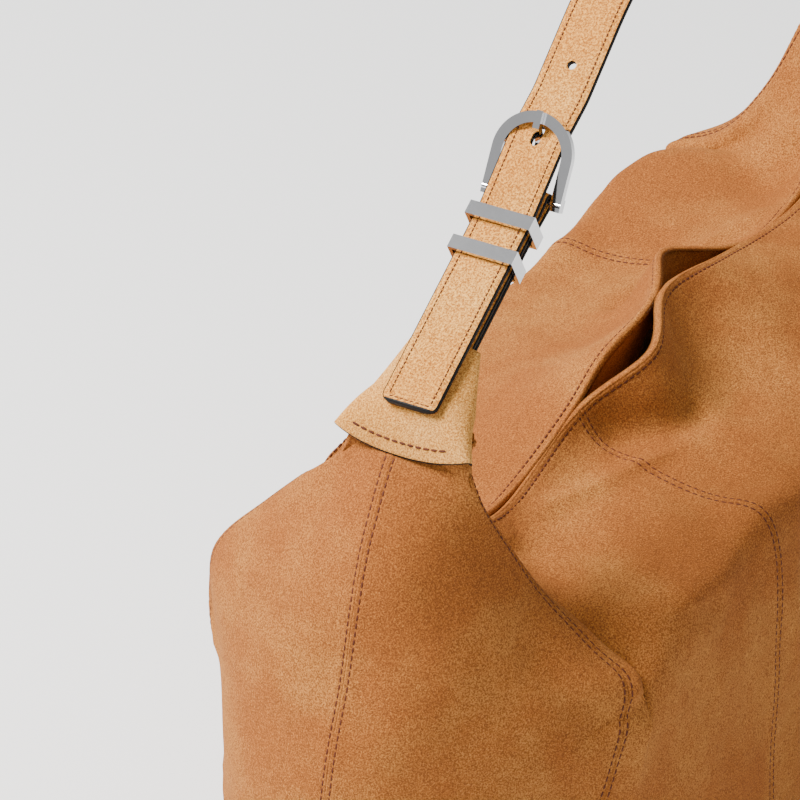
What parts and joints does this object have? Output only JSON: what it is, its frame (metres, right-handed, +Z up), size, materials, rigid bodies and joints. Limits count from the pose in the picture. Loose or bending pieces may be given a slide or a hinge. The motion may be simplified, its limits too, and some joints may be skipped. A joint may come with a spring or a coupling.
{
  "type": "hobo bag",
  "caption": "Slouchy suede hobo bag with gathered horns, folded collars and a shoulder strap buckled at both ends.",
  "frame": {"origin": "middle of the base, on the surface that the bag stands on", "axes": "+X along the bag's length towards its right end, +Y towards its back, +Z up"},
  "size_m": [0.5262, 0.1774, 0.4268],
  "materials": {
    "body_suede": "split suede, brushed nap, camel",
    "collar_suede": "split suede, lighter nap",
    "strap_suede": "split suede, short coarse nap, painted black edges",
    "lining_cloth": "plain weave cotton",
    "base_board": "pressed fibre board",
    "magnet_steel": "nickel plated",
    "polished_metal": "polished nickel plate on zinc"
  },
  "bodies": {
    "bag": {"left_front_gusset": "body_suede", "front_side_panel": "body_suede", "front_panel": "body_suede", "right_front_gusset": "body_suede", "right_back_gusset": "body_suede", "back_side_panel": "body_suede", "back_panel": "body_suede", "left_back_gusset": "body_suede", "base_panel": "body_suede", "base_board": "base_board", "front_lining": "lining_cloth", "back_lining": "lining_cloth", "front_facing": "body_suede", "back_facing": "body_suede", "front_magnet": "magnet_steel", "back_magnet": "magnet_steel"},
    "strap": {"strap": "strap_suede", "left_collar": "collar_suede", "left_buckle_strap": "strap_suede", "right_collar": "collar_suede", "right_buckle_strap": "strap_suede"},
    "left_buckle": {"left_buckle_frame": "polished_metal", "left_buckle_bar": "polished_metal"},
    "left_prong": {"left_prong": "polished_metal"},
    "left_upper_keeper": {"left_upper_keeper": "polished_metal"},
    "left_lower_keeper": {"left_lower_keeper": "polished_metal"},
    "right_buckle": {"right_buckle_frame": "polished_metal", "right_buckle_bar": "polished_metal"},
    "right_prong": {"right_prong": "polished_metal"},
    "right_upper_keeper": {"right_upper_keeper": "polished_metal"},
    "right_lower_keeper": {"right_lower_keeper": "polished_metal"}
  },
  "joints": [
    {"name": "strap_swing", "type": "hinge", "parent": "bag", "child": "strap", "pos_m": [0, 0, 0.2945], "axis": [1, 0, 0], "range_deg": [-40, 40]},
    {"name": "left_buckle_tilt", "type": "hinge", "parent": "strap", "child": "left_buckle", "pos_m": [-0.113, 0, 0.359], "axis": [0, -1, 0], "range_deg": [0, 3]},
    {"name": "left_prong_lift", "type": "hinge", "parent": "left_buckle", "child": "left_prong", "pos_m": [-0.113, 0, 0.359], "axis": [0, -1, 0], "range_deg": [0, 3]},
    {"name": "left_upper_keeper_slide", "type": "slide", "parent": "strap", "child": "left_upper_keeper", "axis": [0.8712, 0, 0.4909], "range_m": [-0.004, 0.001]},
    {"name": "left_lower_keeper_slide", "type": "slide", "parent": "strap", "child": "left_lower_keeper", "axis": [0.8712, 0, 0.4909], "range_m": [-0.028, 0.003]},
    {"name": "right_buckle_tilt", "type": "hinge", "parent": "strap", "child": "right_buckle", "pos_m": [0.113, 0, 0.359], "axis": [0, 1, 0], "range_deg": [0, 3]},
    {"name": "right_prong_lift", "type": "hinge", "parent": "right_buckle", "child": "right_prong", "pos_m": [0.113, 0, 0.359], "axis": [0, 1, 0], "range_deg": [0, 3]},
    {"name": "right_upper_keeper_slide", "type": "slide", "parent": "strap", "child": "right_upper_keeper", "axis": [-0.8712, 0, 0.4909], "range_m": [-0.004, 0.001]},
    {"name": "right_lower_keeper_slide", "type": "slide", "parent": "strap", "child": "right_lower_keeper", "axis": [-0.8712, 0, 0.4909], "range_m": [-0.028, 0.003]}
  ]
}
